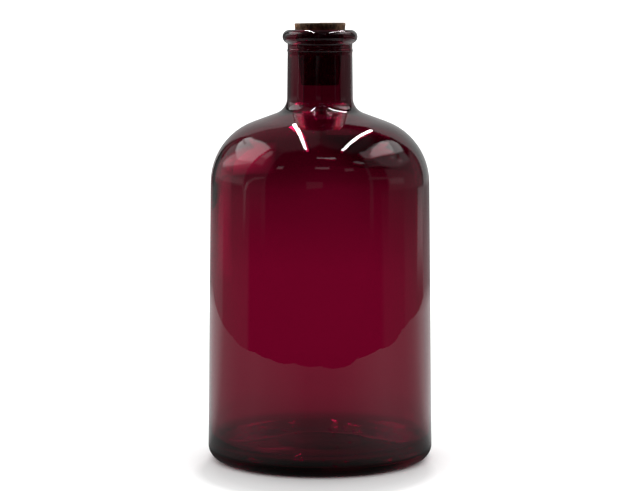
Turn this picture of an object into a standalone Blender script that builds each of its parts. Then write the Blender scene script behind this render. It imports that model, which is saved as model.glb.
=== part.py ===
"""Glass bottle with a long slope-shouldered body, a heavy ring lip and a tapered cork.

Units are metres, +Z is up, and the origin is at the centre of the ring that the bottle stands on.
Both pieces are turned: each is a half section, with +X as its radius, that a Screw modifier takes
round the axis. The bottle is one open vessel, and the cork stands in the taper of its mouth.
"""

import math

import bpy

COLLECTION_NAME = "glass_bottle"

# Outside of the bottle
HEEL_RADIUS = 0.0701  # where the sides would meet the ground
SHOULDER_RADIUS = 0.0675  # where the sides would meet the shoulder's slope
SHOULDER_ANGLE = math.radians(20.1)  # of the slope, above level
NECK_BASE_RADIUS = 0.0205
NECK_TOP_RADIUS = 0.0201
NECK_BASE_HEIGHT = 0.2183  # where the neck would meet the shoulder's slope
HEEL_ROUNDING = 0.0090
SHOULDER_ROUNDING = 0.0402
NECK_BASE_ROUNDING = 0.0099

# Ring lip, a round bead about the mouth
LIP_HEIGHT = 0.2671  # top of the bead
LIP_BEAD_RADIUS = 0.0043
LIP_CENTRE_RADIUS = 0.0189

# Foot
FOOT_RING_INNER_RADIUS = 0.0500
PUSH_UP_HEIGHT = 0.0035  # of the underside's middle above the foot ring
PUSH_UP_FLAT_RADIUS = 0.0260
FOOT_ROUNDING = 0.0300

# Inside of the bottle
WALL = 0.0035
FLOOR_THICKNESS = 0.0085
FLOOR_FLAT_RADIUS = 0.0240
FLOOR_ROUNDING = 0.0095  # where the floor turns up into the wall
FLOOR_MIDDLE_ROUNDING = 0.0600
BORE_RADIUS = 0.0139
BORE_BASE_ROUNDING = 0.0120

# Cork
CORK_TOP_RADIUS = 0.0160
CORK_BOTTOM_RADIUS = 0.0116
CORK_TOP_HEIGHT = 0.2715
CORK_BOTTOM_HEIGHT = 0.2330
CORK_CHAMFER = 0.0006
CORK_GAP = 0.0003  # left between the cork and the mouth's taper

# Fineness
SEGMENTS = 64
LARGEST_SAG = 0.00008  # of a chord inside its arc
LARGEST_TURN = math.radians(18)  # between two neighbouring chords of an arc
MERGE_DISTANCE = 0.00001


def clear_scene():
    """Removes every object of the open scene."""
    for old in list(bpy.data.objects):
        bpy.data.objects.remove(old, do_unlink=True)


def arc(centre_radius, centre_height, radius, start, end):
    """Points of a circle's arc in the half section, from angle start to angle end."""
    turn = min(LARGEST_TURN, 2 * math.acos(1 - LARGEST_SAG / radius))
    steps = max(1, math.ceil(abs(end - start) / turn))
    angles = [start + (end - start) * step / steps for step in range(steps + 1)]
    return [
        (centre_radius + radius * math.cos(angle), centre_height + radius * math.sin(angle))
        for angle in angles
    ]


def rounded_corner(before, corner, after, rounding):
    """The arc of the given radius that joins the two straight lines meeting at the corner."""
    to_before = math.atan2(before[1] - corner[1], before[0] - corner[0])
    to_after = math.atan2(after[1] - corner[1], after[0] - corner[0])
    opening = (to_after - to_before + math.pi) % (2 * math.pi) - math.pi
    middle = to_before + opening / 2
    distance = rounding / math.sin(abs(opening) / 2)
    centre = (corner[0] + distance * math.cos(middle), corner[1] + distance * math.sin(middle))
    turn = math.copysign(math.pi - abs(opening), opening)
    start = middle + math.pi + turn / 2
    return arc(*centre, rounding, start, start - turn)


def outline(corners):
    """A half section through (radius, height, rounding) corners, with the round ones as arcs."""
    points = []
    for index, (radius, height, rounding) in enumerate(corners):
        if rounding:
            points += rounded_corner(
                corners[index - 1], (radius, height), corners[index + 1], rounding
            )
        else:
            points.append((radius, height))
    return points


def cork_radius(height):
    """Radius of the cork's tapered side at a height."""
    part = (height - CORK_BOTTOM_HEIGHT) / (CORK_TOP_HEIGHT - CORK_BOTTOM_HEIGHT)
    return CORK_BOTTOM_RADIUS + part * (CORK_TOP_RADIUS - CORK_BOTTOM_RADIUS)


def mouth_taper():
    """Lower and upper end of the taper that the cork sits in, as (radius, height)."""
    slope = (CORK_TOP_RADIUS - CORK_BOTTOM_RADIUS) / (CORK_TOP_HEIGHT - CORK_BOTTOM_HEIGHT)
    lower = CORK_BOTTOM_HEIGHT + (BORE_RADIUS - CORK_GAP - CORK_BOTTOM_RADIUS) / slope
    upper = LIP_HEIGHT - LIP_BEAD_RADIUS
    for _ in range(4):
        reach = LIP_CENTRE_RADIUS - cork_radius(upper) - CORK_GAP
        upper = LIP_HEIGHT - LIP_BEAD_RADIUS + math.sqrt(LIP_BEAD_RADIUS**2 - reach**2)
    return (BORE_RADIUS, lower), (cork_radius(upper) + CORK_GAP, upper)


def bottle_outline():
    """Half section of the bottle: up the inside from the floor's middle, over the lip and down."""
    rise = math.tan(SHOULDER_ANGLE)
    shoulder_height = NECK_BASE_HEIGHT - (SHOULDER_RADIUS - NECK_BASE_RADIUS) * rise
    slope_drop = WALL / math.cos(SHOULDER_ANGLE)
    inner_shoulder = SHOULDER_RADIUS - WALL
    inner_shoulder_height = shoulder_height + WALL * rise - slope_drop
    inner_neck_height = NECK_BASE_HEIGHT + (NECK_BASE_RADIUS - BORE_RADIUS) * rise - slope_drop
    taper_bottom, taper_top = mouth_taper()
    inside = outline([
        (0, PUSH_UP_HEIGHT + FLOOR_THICKNESS, 0),
        (FLOOR_FLAT_RADIUS, PUSH_UP_HEIGHT + FLOOR_THICKNESS, FLOOR_MIDDLE_ROUNDING),
        (FOOT_RING_INNER_RADIUS, FLOOR_THICKNESS, FLOOR_MIDDLE_ROUNDING),
        (HEEL_RADIUS - WALL, FLOOR_THICKNESS, FLOOR_ROUNDING),
        (inner_shoulder, inner_shoulder_height, SHOULDER_ROUNDING - WALL),
        (BORE_RADIUS, inner_neck_height, BORE_BASE_ROUNDING),
        (*taper_bottom, 0),
        (*taper_top, 0),
    ])
    bead_height = LIP_HEIGHT - LIP_BEAD_RADIUS
    bead_start = math.pi - math.acos((LIP_CENTRE_RADIUS - taper_top[0]) / LIP_BEAD_RADIUS)
    bead_end = -math.acos((NECK_TOP_RADIUS - LIP_CENTRE_RADIUS) / LIP_BEAD_RADIUS)
    lip = arc(LIP_CENTRE_RADIUS, bead_height, LIP_BEAD_RADIUS, bead_start, bead_end)
    outside = outline([
        (*lip[-1], 0),
        (NECK_BASE_RADIUS, NECK_BASE_HEIGHT, NECK_BASE_ROUNDING),
        (SHOULDER_RADIUS, shoulder_height, SHOULDER_ROUNDING),
        (HEEL_RADIUS, 0, HEEL_ROUNDING),
        (FOOT_RING_INNER_RADIUS, 0, 0),
        (PUSH_UP_FLAT_RADIUS, PUSH_UP_HEIGHT, FOOT_ROUNDING),
        (0, PUSH_UP_HEIGHT, 0),
    ])
    return inside + lip[1:-1] + outside


def cork_outline():
    """Half section of the cork: out from the middle of its top, down the side and back in."""
    side_top = CORK_TOP_HEIGHT - CORK_CHAMFER
    side_bottom = CORK_BOTTOM_HEIGHT + CORK_CHAMFER
    return [
        (0, CORK_TOP_HEIGHT),
        (CORK_TOP_RADIUS - CORK_CHAMFER, CORK_TOP_HEIGHT),
        (cork_radius(side_top), side_top),
        (cork_radius(side_bottom), side_bottom),
        (CORK_BOTTOM_RADIUS - CORK_CHAMFER, CORK_BOTTOM_HEIGHT),
        (0, CORK_BOTTOM_HEIGHT),
    ]


def turned_piece(name, half_section, material, collection):
    """An object whose half section a Screw modifier takes once round the Z axis."""
    mesh = bpy.data.meshes.new(name)
    vertices = [(radius, 0, height) for radius, height in half_section]
    edges = [(index, index + 1) for index in range(len(vertices) - 1)]
    mesh.from_pydata(vertices, edges, [])
    mesh.materials.append(material)
    piece = bpy.data.objects.new(name, mesh)
    collection.objects.link(piece)
    screw = piece.modifiers.new("turn", "SCREW")
    screw.axis = "Z"
    screw.angle = 2 * math.pi
    screw.steps = SEGMENTS
    screw.render_steps = SEGMENTS
    screw.use_merge_vertices = True
    screw.merge_threshold = MERGE_DISTANCE
    screw.use_smooth_shade = True
    return piece


def glass_material():
    """Deep red, clear bottle glass."""
    material = bpy.data.materials.new("ruby_glass")
    material.use_nodes = True
    shader = material.node_tree.nodes["Principled BSDF"]
    shader.inputs["Base Color"].default_value = (0.12, 0.002, 0.012, 1)
    shader.inputs["Roughness"].default_value = 0.02
    shader.inputs["Metallic"].default_value = 0
    shader.inputs["Transmission Weight"].default_value = 1
    shader.inputs["IOR"].default_value = 1.52
    return material


def cork_material():
    """Dry tan cork."""
    material = bpy.data.materials.new("cork")
    material.use_nodes = True
    shader = material.node_tree.nodes["Principled BSDF"]
    shader.inputs["Base Color"].default_value = (0.33, 0.19, 0.10, 1)
    shader.inputs["Roughness"].default_value = 0.85
    shader.inputs["Metallic"].default_value = 0
    return material


def main():
    clear_scene()
    collection = bpy.data.collections.new(COLLECTION_NAME)
    bpy.context.scene.collection.children.link(collection)
    turned_piece("glass_bottle", bottle_outline(), glass_material(), collection)
    turned_piece("cork_stopper", cork_outline(), cork_material(), collection)


main()
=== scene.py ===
"""Corked red glass bottle on a pale floor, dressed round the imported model."""

import math

import bmesh
import bpy
import numpy as np
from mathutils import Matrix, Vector, noise


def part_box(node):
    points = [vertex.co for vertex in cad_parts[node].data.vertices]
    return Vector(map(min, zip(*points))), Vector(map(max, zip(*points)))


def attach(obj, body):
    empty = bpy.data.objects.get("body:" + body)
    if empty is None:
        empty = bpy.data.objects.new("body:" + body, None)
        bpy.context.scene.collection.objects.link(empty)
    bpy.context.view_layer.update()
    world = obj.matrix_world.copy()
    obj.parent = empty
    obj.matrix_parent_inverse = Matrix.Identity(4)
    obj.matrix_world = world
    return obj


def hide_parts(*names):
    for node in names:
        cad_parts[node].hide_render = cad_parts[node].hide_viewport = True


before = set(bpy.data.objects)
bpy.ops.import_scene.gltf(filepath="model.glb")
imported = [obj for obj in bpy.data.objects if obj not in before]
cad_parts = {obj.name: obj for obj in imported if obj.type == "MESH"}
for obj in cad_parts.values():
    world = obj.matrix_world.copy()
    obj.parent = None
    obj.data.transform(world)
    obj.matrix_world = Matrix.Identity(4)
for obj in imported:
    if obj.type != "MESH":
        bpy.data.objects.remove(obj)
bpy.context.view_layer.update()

# ---------------------------------------------------------------- sizes, in metres
BOTTLE_LOW, BOTTLE_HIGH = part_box("glass_bottle")
CORK_LOW, CORK_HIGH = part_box("cork_stopper")

# Outside of the bottle
HEEL_RADIUS = 0.0701
SHOULDER_RADIUS = 0.0675
SHOULDER_ANGLE = math.radians(20.1)
NECK_BASE_RADIUS = 0.0205
NECK_TOP_RADIUS = 0.0201
NECK_BASE_HEIGHT = 0.2183
HEEL_ROUNDING = 0.0090
SHOULDER_ROUNDING = 0.0402
NECK_BASE_ROUNDING = 0.0099
LIP_HEIGHT = BOTTLE_HIGH.z
LIP_BEAD_RADIUS = 0.0043
LIP_CENTRE_RADIUS = 0.0189
FOOT_RING_INNER_RADIUS = 0.0500
PUSH_UP_HEIGHT = 0.0035
PUSH_UP_FLAT_RADIUS = 0.0260
FOOT_ROUNDING = 0.0300

# Inside of the bottle
WALL = 0.0035
FLOOR_THICKNESS = 0.0085
FLOOR_FLAT_RADIUS = 0.0240
FLOOR_ROUNDING = 0.0095
FLOOR_MIDDLE_ROUNDING = 0.0600
BORE_RADIUS = 0.0139
BORE_BASE_ROUNDING = 0.0120

# Cork
CORK_TOP_RADIUS = 0.0160
CORK_BOTTOM_RADIUS = 0.0116
CORK_TOP_HEIGHT = CORK_HIGH.z
CORK_BOTTOM_HEIGHT = CORK_LOW.z
CORK_GAP = 0.0003
CORK_CHAMFER = 0.0006

# Glass: the colour of its outer skin, and what its mass takes away
GLASS_SKIN = (0.72, 0.0075, 0.085)
GLASS_MASS = (0.64, 0.20, 0.60)
GLASS_MASS_DENSITY = 50
GLASS_IOR = 1.52

# Colours of the cork's grain from dark to pale, and of its pores, its painted highlight on the top
# rim and its painted shade below the lip
CORK_GRAIN = (0.06, 0.027, 0.010), (0.17, 0.088, 0.038), (0.42, 0.25, 0.13)
CORK_TONE = (0.62, 0.58, 0.55), (1.25, 1.1, 1.0)
CORK_PORE = (0.022, 0.012, 0.007, 1)
CORK_RIM_HIGHLIGHT = (0.46, 0.34, 0.24, 1)
CORK_NECK_SHADE = (0.006, 0.004, 0.003, 1)

# Small marks of making that the CAD leaves out
MOULD_RING_HEIGHT = 0.2544
MOULD_RING_HALF_WIDTH = 0.0010
MOULD_RING_RISE = 0.0003
OUTER_WAVE = 0.00003
INNER_WAVE = 0.0002
FLOOR_WAVE = 0.00015

# Camera
CAMERA_DISTANCE = 1.316
CAMERA_HEIGHT = 0.2664
CAMERA_AIM = 0.1334
CAMERA_LENS = 119.5

# Levels of the white surroundings, and of what stays dark
WHITE = 1.56
DARK = 0.01

# The tubes overhead: first corner and two edges of each, and how strong it is through the glass
DOME_HEIGHT = 0.19
TUBE_HEIGHT = DOME_HEIGHT + 0.86
TUBE_RADIANCE = 40
TUBES = {
    "tube_left": ((-0.208, -0.37, TUBE_HEIGHT), (0.036, 0, 0), (0.035, 1.29, 0), 14),
    "tube_right": ((0.290, -0.38, TUBE_HEIGHT), (0.044, 0, 0), (0.104, 1.11, 0), 4),
}

# Painted shadow in the shown floor's colour, deepening the shadow the bottle casts: its grey by
# distance from the middle of the shadow
FLOOR_HALF = 20
SHADOW_MIDDLE = (-0.003, -0.04, 0)
SHADOW_STRETCH = (1.15, 1, 1)
SHADOW_REACH = 0.2
SHADOW_GREY = (
    (0, 0.45), (0.03, 0.50), (0.052, 0.57), (0.066, 0.60), (0.078, 0.68), (0.086, 0.87),
    (0.095, 0.92), (0.12, 0.94),
)

# The floor seen through the glass: glow by distance from the bottle, times shares by x and by y;
# lowest under and round the bottle, a painted shadow
THROUGH_NEAR = (
    (0, 0.12), (0.07, 0.14), (0.10, 0.35), (0.15, 0.62), (0.25, 0.84), (0.45, 0.95), (1.05, 1),
    (1.7, 0.74), (2.05, 0.65), (2.5, 0.42), (3.1, 0.30), (4.3, 0.20),
)
THROUGH_REACH = 5
THROUGH_ASIDE = ((-1, 0.24), (0.05, 0.24), (0.3, 0.175), (1, 0.16))
THROUGH_FORTH = ((-1, 0.42), (-0.65, 0.5), (-0.45, 1), (1, 1))

# The table that the gloss shows: its outline, and its glow by distance from the bottle, times a
# share by azimuth in degrees. The glow is lowest next to the bottle, a painted shadow.
TABLE_NEAR = (
    (0, 0.02), (0.075, 0.15), (0.095, 0.52), (0.12, 0.62), (0.15, 0.7), (0.2, 0.95), (0.25, 1),
    (0.8, 1), (1, 0.42),
)
TABLE_REACH = 1
TABLE_AROUND = (
    (-180, 0.35), (-160, 0.66), (-146, 0.74), (-128, 0.71), (-122, 0.63), (-116, 0.48),
    (-111, 0.38), (-84, 0.34), (-64, 0.40), (-47, 0.34), (-30, 0.29), (-12, 0.21),
    (12, 0.22), (30, 0.29), (46, 0.40), (63, 0.48), (83, 0.38), (93, 0.36), (104, 0.42),
    (112, 0.52), (119, 0.68), (125, 0.78), (135, 0.83), (145, 0.79), (157, 0.68),
    (180, 0.35),
)
TABLE_CORNERS = (
    (-0.55, 0.95), (-0.57, 0.71), (-0.66, 0.42), (-0.68, 0.24), (-0.68, 0.09), (-0.65, -0.03),
    (-0.63, -0.12), (-0.59, -0.25), (-0.47, -0.40), (-0.25, -0.55), (0, -0.59), (0.28, -0.52),
    (0.37, -0.51), (0.49, -0.42), (0.58, -0.33), (0.67, -0.13), (0.75, 0), (0.78, 0.17),
    (0.72, 0.46), (0.62, 0.95),
)

# The room that the gloss shows. Each area has its corners as (azimuth, elevation) in degrees, its
# radiance and the softness of its edge in degrees, and lies over the areas before it. Azimuth 0
# looks to the front, towards -Y, and 90 to the right, towards +X.
DOME_FLOOR = -14
DOME_STEP = 0.5
ROOM_RADIUS = 8
ROOM_LEVELS = ((-14, 0), (90, 0))
ROOM_AREAS = {
    "ceiling_left": (((-181, 56), (-62, 56), (-35, 66), (0, 80), (0, 91), (-181, 91)), 0.17, 5),
    "ceiling_right": (((0, 80), (36, 66), (50, 55), (181, 55), (181, 91), (0, 91)), 0.09, 5),
    "upper_wall_left": (((-165, 38), (-60, 20), (-60, 56), (-165, 60)), 0.16, 4),
    "backdrop_right": (
        ((138, -4), (181, -4), (181, 42), (160, 41), (150, 45), (143, 42), (137, 30), (139, 12)),
        0.52, 2),
    "backdrop_left": (
        ((-181, -4), (-160, -4), (-156, 12), (-150, 24), (-146, 34), (-150, 40), (-160, 46),
         (-181, 44)), 0.46, 2),
    "stripe_left": (((-156, -4), (-145, -4), (-145, 12), (-143, 30), (-150, 20)), 0.12, 3),
    "wall_left": (((-146, -4), (-86, -4), (-86, 30), (-120, 18), (-146, 10)), 0.26, 2),
    "wall_left_low": (((-140, 0.5), (-88, 0.5), (-88, 7), (-105, 8), (-138, 8)), 0.38, 2),
    "wall_left_foot": (((-146, -4), (-105, -4), (-105, 0), (-146, 0)), 0.20, 1.2),
    "wall_left_foot_dim": (((-106, -4), (-88, -4), (-88, 0), (-106, 0)), 0.10, 1.2),
    "window_left_sill": (
        ((-86, 30), (-86, 24), (-104, 18), (-118, 12), (-130, 8), (-139, 8), (-142, 22),
         (-138, 30)), 0.45, 3),
    "window_left_low": (
        ((-86, 32), (-86, 29), (-104, 20.5), (-118, 14.5), (-129, 10.5), (-133, 12), (-128, 20),
         (-122, 27)), 1.25, 1.5),
    "window_left": (
        ((-86, 31.5), (-86, 46), (-88, 53), (-96, 54), (-110, 53), (-121, 49.5), (-133, 42.5),
         (-140, 38.5), (-141.5, 34.5), (-138, 29.5), (-128, 27), (-120, 26.5), (-112, 24.5),
         (-104, 26), (-96, 28.5)), 2.3, 1.2),
    "window_left_bar": (((-142, 31.5), (-142, 33), (-127, 37.5), (-127, 36)), 1.0, 1),
    "recess_left": (((-85.5, -4), (-59, -4), (-58, 20), (-60, 54), (-85.5, 56)), 0.08, 1.2),
    "recess_glow": (((-82.5, 30), (-82.5, 40), (-72, 40), (-71, 30)), 0.40, 2.5),
    "recess_glow_high": (((-83, 40), (-82, 51), (-76, 51), (-72, 47), (-73, 40)), 0.95, 2),
    "slope_left": (
        ((-87, -4), (-83.5, -4), (-79, 2), (-73, 8), (-61, 12), (-61, 14), (-74, 11), (-82, 5)),
        0.30, 1),
    "slope_left_foot": (((-86, -4), (-84, -4), (-80, 3), (-81.5, 4)), 0.65, 1),
    "post_left": (((-63, -4), (-58.5, -4), (-58.5, 12), (-61, 12)), 0.10, 1),
    "wall_right": (((76, -4), (138, -4), (137, 22), (76, 22)), 0.16, 2.5),
    "gap_right": (((132, 2), (138, 2), (138, 20), (132, 18)), 0.08, 3),
    "sill_right": (
        ((60, 41), (76, 41), (104, 35), (124, 28), (122, 20), (100, 20), (86, 23), (75, 28),
         (60, 32)), 0.38, 2.5),
    "sill_right_dim": (((58, 30), (58, 41), (70, 40), (75, 30)), 0.14, 3),
    "window_right_edge": (
        ((62, 43), (61, 50), (64, 54), (75, 53), (90, 54), (105, 53), (118, 48.5), (126, 45),
         (134, 38), (134, 33), (127, 28), (121, 29), (104, 35), (90, 39), (75, 41)), 0.85, 1.5),
    "window_right_low": (
        ((70, 42), (76, 48), (124, 45), (130, 42), (134, 36), (131, 32), (124, 29), (112, 33),
         (104, 36), (90, 39.5), (76, 41.5)), 1.6, 1.5),
    "window_right": (
        ((76, 42), (90, 41), (98, 38.5), (105, 36), (112, 35.5), (118, 39), (126, 42),
         (122, 47.5), (114, 50), (105, 51), (94, 52), (84, 50), (75, 46)), 2.9, 1.2),
    "spot_right": (((104, 29), (108, 31.5), (114, 31), (112, 29), (107, 27)), 0.10, 1),
    "glint_right": (((103, 24), (103, 26.5), (107, 26), (110, 23.5), (106, 23)), 0.75, 1),
    "glint_right_high": (((97, 31), (98, 34), (102, 33), (101, 31)), 0.85, 1),
    "post_right": (((53, -4), (57, -4), (56.5, 33), (53, 33)), 0.09, 1),
    "ledge_right": (((52, 11), (57, 10), (82, 8), (82, 11), (66, 13), (54, 15)), 0.13, 1),
    "glow_right": (((78, 2), (98, 1), (98, 7), (84, 9), (77, 9)), 0.36, 2),
    "dash_right": (((43, 39.5), (43, 41.5), (47, 42), (55.5, 38), (55.5, 35), (50, 36)), 0.95, 1),
    "dash_middle": (((-5.5, 32), (-5.5, 35.4), (11, 35.4), (11, 31.5)), 0.70, 0.8),
    "dash_side": (((28, 26.5), (28, 31.5), (38, 31), (38.5, 27)), 0.35, 1),
    "dash_left": (((-50.5, 28), (-50, 32.5), (-43, 33.5), (-43, 29)), 0.75, 1),
    "dash_high_left": (((-4.5, 50.8), (-4, 53.5), (4.5, 53), (5, 51)), 1.6, 0.8),
    "dash_high_right": (((5.5, 50.5), (6, 52.5), (22, 52), (22, 49)), 2.4, 1),
    "glow_front": (((-14, 0), (-14, 10), (3, 10), (3, 1.5)), 0.11, 0.6),
    "near_floor_left": (((-124, -15), (-79, -15), (-79, -4), (-124, -4)), 0.13, 3),
    "far_floor_left": (((-181, -15), (-121, -15), (-121, -4.5), (-181, -3.5)), 0.27, 1.5),
    "beside_floor_right": (((68, -15), (100, -15), (100, -4), (68, -4)), 0.075, 4),
    "near_floor_right": (((98, -15), (140, -15), (140, -4), (98, -4)), 0.12, 2),
    "far_glow_right": (((121, -6), (141, -6), (141, -3.4), (124, -3.4)), 0.55, 1),
    "far_floor_right": (((135, -15), (181, -15), (181, -4), (135, -4)), 0.32, 1.5),
}

# What is seen through the glass above the floor, in the same form but with azimuths from 0 to 360:
# 180 looks to the back, towards +Y.
BEYOND_RADIUS = 4
BEHIND = ((138, -16), (213, -16), (213, 91), (148, 91), (148, 30), (138, 26))
BEHIND_SOFTNESS = 3
BEYOND_LEAST = 0.07
BEYOND_LEVELS = ((-5, 0.048), (2, 0.050), (4, 0.065), (7, 0.076), (30, 0.10), (90, 0.10))
BEYOND_AREAS = {
    "dark_right": (((152, -3), (178, -3), (180.5, 4), (181, 30), (152, 30)), 0.004, 1.5),
    "dark_left": (
        ((195.5, -6), (213, -6), (213, 10), (197, 10), (193, 7.5), (193, 4), (195.5, 2.5)),
        0.004, 1),
}

# Fineness of the turned meshes
BOTTLE_SEGMENTS = 160
LONGEST_STEP = 0.0022
LARGEST_TURN = math.radians(6)


# ---------------------------------------------------------------- half sections
def arc(centre_radius, centre_height, radius, start, end):
    """Points of a circle's arc in the half section, from angle start to angle end."""
    steps = max(1, math.ceil(abs(end - start) / LARGEST_TURN))
    angles = [start + (end - start) * step / steps for step in range(steps + 1)]
    return [
        (centre_radius + radius * math.cos(angle), centre_height + radius * math.sin(angle))
        for angle in angles
    ]


def rounded_corner(before, corner, after, rounding):
    """The arc of the given radius that joins the two straight lines meeting at the corner."""
    to_before = math.atan2(before[1] - corner[1], before[0] - corner[0])
    to_after = math.atan2(after[1] - corner[1], after[0] - corner[0])
    opening = (to_after - to_before + math.pi) % (2 * math.pi) - math.pi
    middle = to_before + opening / 2
    distance = rounding / math.sin(abs(opening) / 2)
    centre = (corner[0] + distance * math.cos(middle), corner[1] + distance * math.sin(middle))
    turn = math.copysign(math.pi - abs(opening), opening)
    start = middle + math.pi + turn / 2
    return arc(*centre, rounding, start, start - turn)


def outline(corners):
    """A half section through (radius, height, rounding) corners, with the round ones as arcs."""
    points = []
    for index, (radius, height, rounding) in enumerate(corners):
        if rounding:
            points += rounded_corner(
                corners[index - 1], (radius, height), corners[index + 1], rounding
            )
        else:
            points.append((radius, height))
    return points


def with_short_steps(points):
    """The same half section with its long straight runs divided."""
    fine = [points[0]]
    for (r0, z0), (r1, z1) in zip(points, points[1:]):
        steps = max(1, math.ceil(math.hypot(r1 - r0, z1 - z0) / LONGEST_STEP))
        fine += [
            (r0 + (r1 - r0) * step / steps, z0 + (z1 - z0) * step / steps)
            for step in range(1, steps + 1)
        ]
    return fine


def cork_radius(height):
    """Radius of the cork's tapered side at a height."""
    part = (height - CORK_BOTTOM_HEIGHT) / (CORK_TOP_HEIGHT - CORK_BOTTOM_HEIGHT)
    return CORK_BOTTOM_RADIUS + part * (CORK_TOP_RADIUS - CORK_BOTTOM_RADIUS)


def mouth_taper():
    """Lower and upper end of the taper that the cork sits in, as (radius, height)."""
    slope = (CORK_TOP_RADIUS - CORK_BOTTOM_RADIUS) / (CORK_TOP_HEIGHT - CORK_BOTTOM_HEIGHT)
    lower = CORK_BOTTOM_HEIGHT + (BORE_RADIUS - CORK_GAP - CORK_BOTTOM_RADIUS) / slope
    upper = LIP_HEIGHT - LIP_BEAD_RADIUS
    for _ in range(4):
        reach = LIP_CENTRE_RADIUS - cork_radius(upper) - CORK_GAP
        upper = LIP_HEIGHT - LIP_BEAD_RADIUS + math.sqrt(LIP_BEAD_RADIUS**2 - reach**2)
    return (BORE_RADIUS, lower), (cork_radius(upper) + CORK_GAP, upper)


def bottle_outline():
    """Inside and outside half of the bottle's section, and the lip between them."""
    rise = math.tan(SHOULDER_ANGLE)
    shoulder_height = NECK_BASE_HEIGHT - (SHOULDER_RADIUS - NECK_BASE_RADIUS) * rise
    slope_drop = WALL / math.cos(SHOULDER_ANGLE)
    inner_shoulder_height = shoulder_height + WALL * rise - slope_drop
    inner_neck_height = NECK_BASE_HEIGHT + (NECK_BASE_RADIUS - BORE_RADIUS) * rise - slope_drop
    taper_bottom, taper_top = mouth_taper()
    inside = outline([
        (0, PUSH_UP_HEIGHT + FLOOR_THICKNESS, 0),
        (FLOOR_FLAT_RADIUS, PUSH_UP_HEIGHT + FLOOR_THICKNESS, FLOOR_MIDDLE_ROUNDING),
        (FOOT_RING_INNER_RADIUS, FLOOR_THICKNESS, FLOOR_MIDDLE_ROUNDING),
        (HEEL_RADIUS - WALL, FLOOR_THICKNESS, FLOOR_ROUNDING),
        (SHOULDER_RADIUS - WALL, inner_shoulder_height, SHOULDER_ROUNDING - WALL),
        (BORE_RADIUS, inner_neck_height, BORE_BASE_ROUNDING),
        (*taper_bottom, 0),
        (*taper_top, 0),
    ])
    ring = [
        (NECK_TOP_RADIUS + rise_share * MOULD_RING_RISE,
         MOULD_RING_HEIGHT + place * MOULD_RING_HALF_WIDTH, 0)
        for place, rise_share in ((1, 0), (0.6, 0.55), (0.25, 0.9), (0, 1), (-0.25, 0.9),
                                  (-0.6, 0.55), (-1, 0))
    ]
    bead_height = LIP_HEIGHT - LIP_BEAD_RADIUS
    bead_start = math.pi - math.acos((LIP_CENTRE_RADIUS - taper_top[0]) / LIP_BEAD_RADIUS)
    bead_end = -math.acos((NECK_TOP_RADIUS - LIP_CENTRE_RADIUS) / LIP_BEAD_RADIUS)
    lip = arc(LIP_CENTRE_RADIUS, bead_height, LIP_BEAD_RADIUS, bead_start, bead_end)
    outside = outline([
        (*lip[-1], 0),
        *ring,
        (NECK_BASE_RADIUS, NECK_BASE_HEIGHT, NECK_BASE_ROUNDING),
        (SHOULDER_RADIUS, shoulder_height, SHOULDER_ROUNDING),
        (HEEL_RADIUS, 0, HEEL_ROUNDING),
        (FOOT_RING_INNER_RADIUS, 0, 0),
        (PUSH_UP_FLAT_RADIUS, PUSH_UP_HEIGHT, FOOT_ROUNDING),
        (0, PUSH_UP_HEIGHT, 0),
    ])
    return inside, lip, outside


# ---------------------------------------------------------------- meshes
def turned_mesh(name, section, segments, shift=None):
    """A closed mesh turned from a section that starts and ends on the axis.

    shift(radius, height, angle, index) gives a vertex's own change of radius and height."""
    rim = section[1:-1]
    angles = np.arange(segments) * 2 * math.pi / segments
    vertices = [(0, 0, section[0][1])]
    for index, (radius, height) in enumerate(rim):
        for angle in angles:
            dr, dz = shift(radius, height, angle, index) if shift else (0, 0)
            vertices.append((
                (radius + dr) * math.cos(angle), (radius + dr) * math.sin(angle), height + dz
            ))
    vertices.append((0, 0, section[-1][1]))
    last = len(vertices) - 1
    faces = []
    for j in range(segments):
        k = (j + 1) % segments
        faces.append((0, 1 + j, 1 + k))
        for i in range(len(rim) - 1):
            low, high = 1 + i * segments, 1 + (i + 1) * segments
            faces.append((low + j, high + j, high + k, low + k))
        end = 1 + (len(rim) - 1) * segments
        faces.append((last, end + k, end + j))
    mesh = bpy.data.meshes.new(name)
    mesh.from_pydata(vertices, [], faces)
    mesh.validate()
    solid = bmesh.new()
    solid.from_mesh(mesh)
    bmesh.ops.recalc_face_normals(solid, faces=solid.faces)
    solid.to_mesh(mesh)
    solid.free()
    mesh.shade_smooth()
    return mesh


def piece(name, mesh, material):
    """A shown object that rides on the one body."""
    made = bpy.data.objects.new(name, mesh)
    mesh.materials.append(material)
    bpy.context.scene.collection.objects.link(made)
    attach(made, "root")
    return made


# ---------------------------------------------------------------- materials
class Nodes:
    """A material's node tree, with short calls to add and join its nodes."""

    def __init__(self, name):
        self.material = bpy.data.materials.new(name)
        self.material.use_nodes = True
        self.tree = self.material.node_tree
        self.shader = self.tree.nodes["Principled BSDF"]
        self.output = self.tree.nodes["Material Output"]

    def add(self, kind, **settings):
        node = self.tree.nodes.new(kind)
        for key, value in settings.items():
            setattr(node, key, value)
        return node

    def join(self, source, target):
        self.tree.links.new(source, target)


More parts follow.
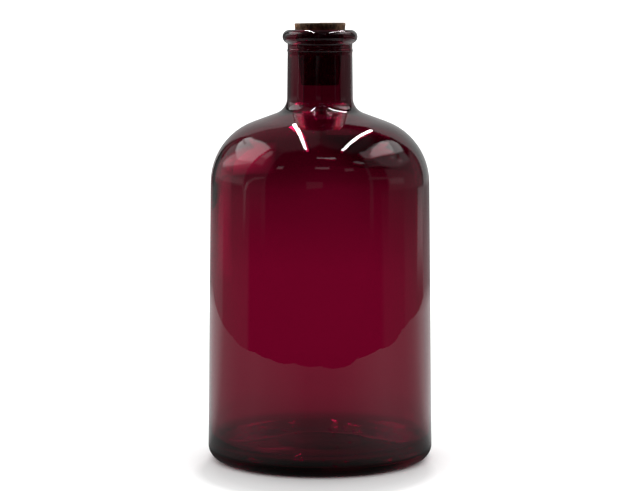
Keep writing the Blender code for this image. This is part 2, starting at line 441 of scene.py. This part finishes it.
def glass_material():
    """Deep red glass. Most of its colour is a skin on the outer face, the rest is in the mass.

    The mesh's outer attribute is 1 on the outer face and 0 on the inner one."""
    nodes = Nodes("red_glass")
    shader = nodes.shader
    outer = nodes.add("ShaderNodeAttribute", attribute_name="outer")
    skin = nodes.add("ShaderNodeMix", data_type="RGBA")
    skin.inputs[6].default_value = (1, 1, 1, 1)
    skin.inputs[7].default_value = (*GLASS_SKIN, 1)
    nodes.join(outer.outputs["Fac"], skin.inputs[0])
    nodes.join(skin.outputs[2], shader.inputs["Base Color"])
    shader.inputs["Roughness"].default_value = 0
    shader.inputs["IOR"].default_value = GLASS_IOR
    shader.inputs["Transmission Weight"].default_value = 1
    volume = nodes.add("ShaderNodeVolumeAbsorption")
    volume.inputs["Color"].default_value = (*GLASS_MASS, 1)
    volume.inputs["Density"].default_value = GLASS_MASS_DENSITY
    nodes.join(volume.outputs[0], nodes.output.inputs["Volume"])
    return nodes.material


def cork_material():
    """Dry cork: mottled grain and fine pores, a painted highlight along the top rim, and painted
    shade darkening it below the lip.
    """
    nodes = Nodes("cork")
    shader = nodes.shader
    place = nodes.add("ShaderNodeTexCoord").outputs["Object"]

    def textured(kind, scale, stretch, **inputs):
        mapping = nodes.add("ShaderNodeMapping")
        mapping.inputs["Scale"].default_value = stretch
        nodes.join(place, mapping.inputs["Vector"])
        texture = nodes.add(kind)
        texture.inputs["Scale"].default_value = scale
        for key, value in inputs.items():
            texture.inputs[key].default_value = value
        nodes.join(mapping.outputs[0], texture.inputs["Vector"])
        return texture

    def coloured(value, stops):
        ramp = nodes.add("ShaderNodeValToRGB")
        elements = ramp.color_ramp.elements
        for index, (position, colour) in enumerate(stops):
            element = elements[index] if index < 2 else elements.new(position)
            element.position = position
            element.color = (*colour, 1)
        nodes.join(value, ramp.inputs[0])
        return ramp.outputs["Color"]

    def blended(kind, factor, first, second):
        mix = nodes.add("ShaderNodeMix", data_type="RGBA", blend_type=kind)
        for socket, value in zip((mix.inputs[0], mix.inputs[6], mix.inputs[7]),
                                 (factor, first, second)):
            if isinstance(value, (int, float, tuple)):
                socket.default_value = value
            else:
                nodes.join(value, socket)
        return mix.outputs[2]

    grain = textured("ShaderNodeTexNoise", 330, (1, 1, 0.55), Detail=8, Roughness=0.65)
    mottle = coloured(grain.outputs["Fac"], zip((0.34, 0.50, 0.66), CORK_GRAIN))
    patches = textured("ShaderNodeTexNoise", 90, (1, 1, 1), Detail=3)
    tone = coloured(patches.outputs["Fac"], zip((0.36, 0.64), CORK_TONE))
    body = blended("MULTIPLY", 1, mottle, tone)
    cells = textured("ShaderNodeTexVoronoi", 620, (1, 1, 0.5), Randomness=1)
    pores = coloured(cells.outputs["Distance"], ((0.10, (1, 1, 1)), (0.24, (0, 0, 0))))
    body = blended("MIX", pores, body, CORK_PORE)
    axes = nodes.add("ShaderNodeSeparateXYZ")
    nodes.join(place, axes.inputs[0])
    # Painted highlight: a paler band along the top rim, where light from above falls on the cork's
    # upper edge
    rim = nodes.add("ShaderNodeMapRange")
    rim.inputs["From Min"].default_value = CORK_TOP_HEIGHT - 0.0014
    rim.inputs["From Max"].default_value = CORK_TOP_HEIGHT - 0.0004
    nodes.join(axes.outputs["Z"], rim.inputs["Value"])
    rim_highlight = math_node(nodes.tree, "MULTIPLY", rim.outputs[0], grain.outputs["Fac"])
    shown = blended("MIX", rim_highlight, body, CORK_RIM_HIGHLIGHT)
    # Painted shade: the cork fades to near black from just above the lip downwards, the part inside
    # the neck
    neck_shade = nodes.add("ShaderNodeMapRange")
    neck_shade.inputs["From Min"].default_value = LIP_HEIGHT - 0.0035
    neck_shade.inputs["From Max"].default_value = LIP_HEIGHT + 0.0005
    neck_shade.inputs["To Min"].default_value = 0.88
    neck_shade.inputs["To Max"].default_value = 0
    nodes.join(axes.outputs["Z"], neck_shade.inputs["Value"])
    shown = blended("MIX", neck_shade.outputs[0], shown, CORK_NECK_SHADE)
    nodes.join(shown, shader.inputs["Base Color"])
    rough = nodes.add("ShaderNodeMapRange")
    rough.inputs["To Min"].default_value = 0.75
    rough.inputs["To Max"].default_value = 0.95
    nodes.join(grain.outputs["Fac"], rough.inputs["Value"])
    nodes.join(rough.outputs[0], shader.inputs["Roughness"])
    bump = nodes.add("ShaderNodeBump")
    bump.inputs["Strength"].default_value = 0.6
    bump.inputs["Distance"].default_value = 0.0004
    height = math_node(nodes.tree, "SUBTRACT", grain.outputs["Fac"], pores)
    nodes.join(height, bump.inputs["Height"])
    nodes.join(bump.outputs[0], shader.inputs["Normal"])
    return nodes.material


# ---------------------------------------------------------------- pieces
def wave(angle, height, across, along, seed):
    """Smooth noise from about -1 to 1 over the glass, across waves round it and along per metre."""
    return noise.noise(Vector((
        across * math.cos(angle) + seed, across * math.sin(angle), along * height
    )))


def make_bottle():
    """The glass, with the slight unevenness of a mould-blown bottle outside and more inside."""
    inside, lip, outside = bottle_outline()
    section = with_short_steps(inside + lip[1:-1] + outside)
    inner_points = len(with_short_steps(inside)) - 1

    def uneven(radius, height, angle, index):
        if index < inner_points:
            if height < FLOOR_THICKNESS + PUSH_UP_HEIGHT + 0.0005:
                return 0, FLOOR_WAVE * wave(angle, radius, 60 * radius, 60, 5.2)
            near_mouth = min(1, max(0, (CORK_BOTTOM_HEIGHT - 0.004 - height) / 0.02))
            return near_mouth * INNER_WAVE * wave(angle, height, 2.6, 14, 1.7), 0
        return OUTER_WAVE * wave(angle, height, 3.0, 30, 8.3), 0

    mesh = turned_mesh("bottle_glass", section, BOTTLE_SEGMENTS, uneven)
    outer = mesh.attributes.new("outer", "FLOAT", "POINT")
    last_inner = 1 + inner_points * BOTTLE_SEGMENTS
    outer.data.foreach_set("value", [float(i > last_inner) for i in range(len(mesh.vertices))])
    bottle = piece("bottle_glass", mesh, glass_material())
    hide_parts("glass_bottle")


def make_cork():
    """The stopper, with a slightly rough side, chipped upper edge and top cut a little askew."""
    side_top = CORK_TOP_HEIGHT - CORK_CHAMFER
    side_bottom = CORK_BOTTOM_HEIGHT + CORK_CHAMFER
    section = with_short_steps([
        (0, CORK_TOP_HEIGHT),
        (CORK_TOP_RADIUS - CORK_CHAMFER, CORK_TOP_HEIGHT),
        (cork_radius(side_top), side_top),
        (cork_radius(side_bottom), side_bottom),
        (CORK_BOTTOM_RADIUS - CORK_CHAMFER, CORK_BOTTOM_HEIGHT),
        (0, CORK_BOTTOM_HEIGHT),
    ])

    def rough(radius, height, angle, index):
        grain = noise.noise(Vector((
            420 * radius * math.cos(angle), 420 * radius * math.sin(angle), 300 * height
        )))
        inward = -0.00010 * (1 + grain)
        near_top = min(1, max(0, (height - side_top + 0.0012) / 0.0012))
        chip = max(0, wave(angle, 0, 4.5, 1, 3.1) - 0.1)
        at_edge = min(1, radius / CORK_TOP_RADIUS) ** 8
        inward -= 0.0009 * near_top * chip * at_edge
        askew = 0.0002 * (math.cos(angle) - 1) - 0.0004 * chip * at_edge
        return inward * at_edge, near_top * askew

    mesh = turned_mesh("cork_body", section, 96, rough)
    cork = piece("cork_body", mesh, cork_material())
    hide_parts("cork_stopper")


# ---------------------------------------------------------------- studio
def emission_material(name, level):
    """A grey glow of the given level."""
    material = bpy.data.materials.new(name)
    material.use_nodes = True
    tree = material.node_tree
    tree.nodes.clear()
    output = tree.nodes.new("ShaderNodeOutputMaterial")
    glow = tree.nodes.new("ShaderNodeEmission")
    glow.inputs["Color"].default_value = (level, level, level, 1)
    tree.links.new(glow.outputs[0], output.inputs["Surface"])
    return material


def ramp_node(tree, value, stops, low, high):
    """A grey ramp through (value, grey) stops, read over the range from low to high."""
    spread = tree.nodes.new("ShaderNodeMapRange")
    spread.inputs["From Min"].default_value = low
    spread.inputs["From Max"].default_value = high
    tree.links.new(value, spread.inputs["Value"])
    ramp = tree.nodes.new("ShaderNodeValToRGB")
    tree.links.new(spread.outputs[0], ramp.inputs[0])
    elements = ramp.color_ramp.elements
    for index, (at, grey) in enumerate(stops):
        position = (at - low) / (high - low)
        element = elements[index] if index < 2 else elements.new(position)
        element.position = position
        element.color = (grey, grey, grey, 1)
    return ramp.outputs["Color"]


def math_node(tree, operation, *values):
    """A Math node with each of its inputs joined to an output or set to a number."""
    node = tree.nodes.new("ShaderNodeMath")
    node.operation = operation
    for socket, value in zip(node.inputs, values):
        if isinstance(value, (int, float)):
            socket.default_value = value
        else:
            tree.links.new(value, socket)
    return node.outputs[0]


def reflected_only(tree):
    """1 for a ray just reflected in gloss, 0 for others, also those just come through glass."""
    path = tree.nodes.new("ShaderNodeLightPath")
    reflected = math_node(
        tree, "SUBTRACT", path.outputs["Is Glossy Ray"], path.outputs["Is Transmission Ray"]
    )
    reflected.node.use_clamp = True
    return reflected


def distance_from(tree, middle, stretch=(1, 1, 1)):
    """How far a point of a surface is from the given one, with each axis stretched."""
    geometry = tree.nodes.new("ShaderNodeNewGeometry")
    value = geometry.outputs["Position"]
    for operation, amount in ("SUBTRACT", middle), ("MULTIPLY", stretch):
        step = tree.nodes.new("ShaderNodeVectorMath")
        step.operation = operation
        step.inputs[1].default_value = amount
        tree.links.new(value, step.inputs[0])
        value = step.outputs["Vector"]
    length = tree.nodes.new("ShaderNodeVectorMath")
    length.operation = "LENGTH"
    tree.links.new(value, length.inputs[0])
    return length.outputs["Value"]


def ground_glow(name, near, reach):
    """A glow by distance from the bottle, with its tree and the x and y of a point, to go on."""
    material = emission_material(name, 1)
    tree = material.node_tree
    grey = ramp_node(tree, distance_from(tree, (0, 0, 0)), near, 0, reach)
    tree.links.new(grey, tree.nodes["Emission"].inputs["Color"])
    geometry = tree.nodes.new("ShaderNodeNewGeometry")
    place = tree.nodes.new("ShaderNodeSeparateXYZ")
    tree.links.new(geometry.outputs["Position"], place.inputs[0])
    return material, tree, place.outputs["X"], place.outputs["Y"]


def through_floor_material():
    """Glow of the floor that is seen through the glass, with a painted shadow under and round the
    bottle.
    """
    material, tree, x, y = ground_glow("floor_pool", THROUGH_NEAR, THROUGH_REACH)
    aside = ramp_node(tree, x, THROUGH_ASIDE, -1, 1)
    forth = ramp_node(tree, y, THROUGH_FORTH, -1, 1)
    share = math_node(tree, "MULTIPLY", aside, forth)
    tree.links.new(share, tree.nodes["Emission"].inputs["Strength"])
    return material


def table_material():
    """Glow of the table that the gloss shows, with a painted shadow next to the bottle."""
    material, tree, x, y = ground_glow("table_grey", TABLE_NEAR, TABLE_REACH)
    front = math_node(tree, "MULTIPLY", y, -1)
    azimuth = math_node(tree, "DEGREES", math_node(tree, "ARCTAN2", x, front))
    share = ramp_node(tree, azimuth, TABLE_AROUND, -180, 180)
    tree.links.new(share, tree.nodes["Emission"].inputs["Strength"])
    return material


def attribute_material(name, attribute):
    """Glow that follows a number kept on the mesh's points."""
    material = emission_material(name, 1)
    tree = material.node_tree
    reader = tree.nodes.new("ShaderNodeAttribute")
    reader.attribute_name = attribute
    tree.links.new(reader.outputs["Fac"], tree.nodes["Emission"].inputs["Strength"])
    return material


def shown_floor_material():
    """The white floor, whose colour a painted shadow greys towards the middle of the bottle's cast
    shadow.
    """
    material = bpy.data.materials.new("floor_white")
    material.use_nodes = True
    tree = material.node_tree
    shader = tree.nodes["Principled BSDF"]
    distance = distance_from(tree, SHADOW_MIDDLE, SHADOW_STRETCH)
    grey = ramp_node(tree, distance, SHADOW_GREY, 0, SHADOW_REACH)
    tree.links.new(grey, shader.inputs["Base Color"])
    shader.inputs["Roughness"].default_value = 1
    shader.inputs["Specular IOR Level"].default_value = 0
    return material


def stage_piece(name, mesh, material, seen_by):
    """A stage object that only the named kinds of ray meet."""
    mesh.materials.append(material)
    panel = bpy.data.objects.new(name, mesh)
    bpy.context.scene.collection.objects.link(panel)
    for kind in ("camera", "diffuse", "glossy", "transmission", "shadow"):
        setattr(panel, "visible_" + kind, kind in seen_by)


def card(name, corner, along, up, material, seen_by):
    """A flat stage panel, spanned by two edges."""
    corner, along, up = Vector(corner), Vector(along), Vector(up)
    mesh = bpy.data.meshes.new(name)
    mesh.from_pydata([corner, corner + along, corner + along + up, corner + up], [], [(0, 1, 2, 3)])
    stage_piece(name, mesh, material, seen_by)


def flat_shape(name, corners, height, material, seen_by):
    """A level stage panel with the given outline."""
    mesh = bpy.data.meshes.new(name)
    vertices = [(x, y, height) for x, y in corners]
    mesh.from_pydata(vertices, [], [tuple(range(len(vertices)))])
    stage_piece(name, mesh, material, seen_by)


def glow_card(name, corner, along, up, level):
    """Soft light added behind the glass: brightest in the card's middle, none at its edges."""
    corner, along, up = Vector(corner), Vector(along), Vector(up)
    shares = [step / 16 for step in range(17)]
    fall = [math.sin(share * math.pi) ** 0.8 for share in shares]
    vertices = [corner + s * along + t * up for t in shares for s in shares]
    row = len(shares)
    faces = [
        (j * row + i, j * row + i + 1, (j + 1) * row + i + 1, (j + 1) * row + i)
        for j in range(row - 1) for i in range(row - 1)
    ]
    mesh = bpy.data.meshes.new(name)
    mesh.from_pydata(vertices, [], faces)
    layer = mesh.attributes.new("glow", "FLOAT", "POINT")
    layer.data.foreach_set("value", (level * np.outer(fall, fall)).ravel().astype(np.float32))
    material = attribute_material(name + "_glow", "glow")
    tree = material.node_tree
    both = tree.nodes.new("ShaderNodeAddShader")
    tree.links.new(tree.nodes["Emission"].outputs[0], both.inputs[0])
    tree.links.new(tree.nodes.new("ShaderNodeBsdfTransparent").outputs[0], both.inputs[1])
    tree.links.new(both.outputs[0], tree.nodes["Material Output"].inputs["Surface"])
    stage_piece(name, mesh, material, ("transmission",))


def area_cover(azimuth, elevation, corners, softness):
    """How much an area of the room covers each direction: 0 outside, 1 inside, soft between."""
    nearest = np.full(azimuth.shape, 360.0)
    inside = np.zeros(azimuth.shape, bool)
    for (a0, e0), (a1, e1) in zip(corners, corners[1:] + corners[:1]):
        run, rise = a1 - a0, e1 - e0
        along = ((azimuth - a0) * run + (elevation - e0) * rise) / (run * run + rise * rise)
        along = np.clip(along, 0, 1)
        away = np.hypot(azimuth - a0 - along * run, elevation - e0 - along * rise)
        nearest = np.minimum(nearest, away)
        if rise:
            crossed = (elevation >= e0) != (elevation >= e1)
            inside ^= crossed & (azimuth < a0 + (elevation - e0) * run / rise)
    depth = np.where(inside, nearest, -nearest)
    part = np.clip(0.5 + depth / (2 * softness), 0, 1)
    return part * part * (3 - 2 * part)


def area_glow(azimuth, elevation, levels, areas):
    """The glow of levels by elevation, with the areas over it."""
    glow = np.interp(elevation, *zip(*levels))
    for corners, radiance, softness in areas.values():
        cover = area_cover(azimuth, elevation, corners, softness)
        glow += cover * (radiance - glow)
    return glow


def glow_dome(name, radius, behind, seen_by):
    """A stage dome that glows as the room does, and with behind as seen through at its back."""
    azimuths = np.arange(-180, 180, DOME_STEP)
    elevations = np.arange(DOME_FLOOR, 90 + DOME_STEP / 2, DOME_STEP)
    azimuth, elevation = np.meshgrid(azimuths, elevations)
    glow = area_glow(azimuth, elevation, ROOM_LEVELS, ROOM_AREAS)
    if behind:
        round_back = azimuth % 360
        through = area_glow(round_back, elevation, BEYOND_LEVELS, BEYOND_AREAS)
        glow = np.maximum(glow, BEYOND_LEAST)
        glow += area_cover(round_back, elevation, BEHIND, BEHIND_SOFTNESS) * (through - glow)
    turn, rise = np.radians(azimuth), np.radians(elevation)
    points = np.stack([
        np.cos(rise) * np.sin(turn), -np.cos(rise) * np.cos(turn), np.sin(rise)
    ], axis=-1) * radius
    points[..., 2] += DOME_HEIGHT
    columns = len(azimuths)
    faces = [
        (j * columns + i, j * columns + (i + 1) % columns,
         (j + 1) * columns + (i + 1) % columns, (j + 1) * columns + i)
        for j in range(len(elevations) - 1) for i in range(columns)
    ]
    mesh = bpy.data.meshes.new(name)
    mesh.from_pydata(points.reshape(-1, 3).tolist(), [], faces)
    layer = mesh.attributes.new("glow", "FLOAT", "POINT")
    layer.data.foreach_set("value", glow.ravel().astype(np.float32))
    stage_piece(name, mesh, attribute_material(name + "_glow", "glow"), seen_by)


def make_floor():
    """The shown floor, the one seen through the glass with its dark corner, and the table."""
    size = 2 * FLOOR_HALF
    corner, along, up = (-FLOOR_HALF, -FLOOR_HALF, 0), (size, 0, 0), (0, size, 0)
    card("floor", corner, along, up, shown_floor_material(), ("camera", "shadow"))
    card("floor_through", corner, along, up, through_floor_material(), ("transmission",))
    black = emission_material("far_corner_black", 0)
    card("far_corner", (-3, 1.6, 0.001), (2.42, 0, 0), (0, 3, 0), black, ("transmission",))
    flat_shape("table", TABLE_CORNERS, -0.0001, table_material(), ("glossy", "diffuse"))


def tube_material(through_level):
    """A tube's light, weaker where it is seen through the glass."""
    glow = emission_material("tube_light", 1)
    tree = glow.node_tree
    extra = math_node(tree, "MULTIPLY", reflected_only(tree), TUBE_RADIANCE - through_level)
    strength = math_node(tree, "ADD", extra, through_level)
    tree.links.new(strength, tree.nodes["Emission"].inputs["Strength"])
    return glow


def make_lights():
    """Two long tubes over the bottle and two soft glows behind it."""
    for name, (*place, through_level) in TUBES.items():
        card(name, *place, tube_material(through_level), ("glossy", "transmission"))
    glow_card("glow_high_left", (-0.150, 0.33, 0.158), (0.112, 0, 0), (0, 0, 0.052), 0.42)
    glow_card("glow_left", (-0.200, 0.33, 0.070), (0.105, 0, 0), (0, 0, 0.115), 0.26)


def round_screen(name, radius, low, high, first, last, material, seen_by):
    """A stage screen bent round the bottle's axis, between two azimuths from the back."""
    turns = np.radians(np.linspace(first, last, 13))
    vertices = [
        (radius * math.sin(turn), radius * math.cos(turn), height)
        for turn in turns for height in (low, high)
    ]
    faces = [(2 * i, 2 * i + 2, 2 * i + 3, 2 * i + 1) for i in range(len(turns) - 1)]
    mesh = bpy.data.meshes.new(name)
    mesh.from_pydata(vertices, [], faces)
    stage_piece(name, mesh, material, seen_by)


def make_screens():
    """A black flag that shades the cork's front, and dim screens that the neck shows."""
    black = emission_material("flag_black", 0)
    round_screen("flag", 0.080, 0.200, 0.420, 105, 255, black, ("diffuse", "shadow"))
    left = emission_material("neck_left", 0.085)
    right = emission_material("neck_right", 0.042)
    round_screen("neck_screen_left", 0.11, 0.213, 0.272, -95, -22, left, ("transmission",))
    round_screen("neck_screen_right", 0.11, 0.213, 0.272, 2, 95, right, ("transmission",))


def make_world():
    """White surroundings, dim beyond the glass and a dark room in its gloss."""
    world = bpy.data.worlds.new("studio")
    bpy.context.scene.world = world
    world.use_nodes = True
    tree = world.node_tree
    tree.nodes.clear()

    def background(strength):
        node = tree.nodes.new("ShaderNodeBackground")
        node.inputs["Color"].default_value = (1, 1, 1, 1)
        node.inputs["Strength"].default_value = strength
        return node

    def mixed(factor, first, second):
        node = tree.nodes.new("ShaderNodeMixShader")
        tree.links.new(factor, node.inputs[0])
        tree.links.new(first.outputs[0], node.inputs[1])
        tree.links.new(second.outputs[0], node.inputs[2])
        return node

    path = tree.nodes.new("ShaderNodeLightPath")
    lit = mixed(path.outputs["Is Transmission Ray"], background(WHITE), background(DARK))
    shown = mixed(reflected_only(tree), lit, background(DARK))
    output = tree.nodes.new("ShaderNodeOutputWorld")
    tree.links.new(shown.outputs[0], output.inputs["Surface"])


def make_camera():
    """The camera before the bottle, aimed at a point on the axis."""
    data = bpy.data.cameras.new("camera")
    data.lens = CAMERA_LENS
    data.sensor_width = 36
    camera = bpy.data.objects.new("camera", data)
    camera.location = (0, -CAMERA_DISTANCE, CAMERA_HEIGHT)
    tilt = math.atan2(CAMERA_AIM - CAMERA_HEIGHT, CAMERA_DISTANCE)
    camera.rotation_euler = (math.pi / 2 + tilt, 0, 0)
    bpy.context.scene.collection.objects.link(camera)
    bpy.context.scene.camera = camera


def set_picture():
    """Plain colours, and enough bounces for the glass."""
    scene = bpy.context.scene
    scene.view_settings.view_transform = "Standard"
    scene.cycles.glossy_bounces = 12
    scene.cycles.transmission_bounces = 24
    scene.cycles.max_bounces = 32


def main():
    make_bottle()
    make_cork()
    make_floor()
    make_lights()
    glow_dome("room", ROOM_RADIUS, False, ("glossy",))
    glow_dome("beyond", BEYOND_RADIUS, True, ("transmission",))
    make_screens()
    make_world()
    make_camera()
    set_picture()


main()
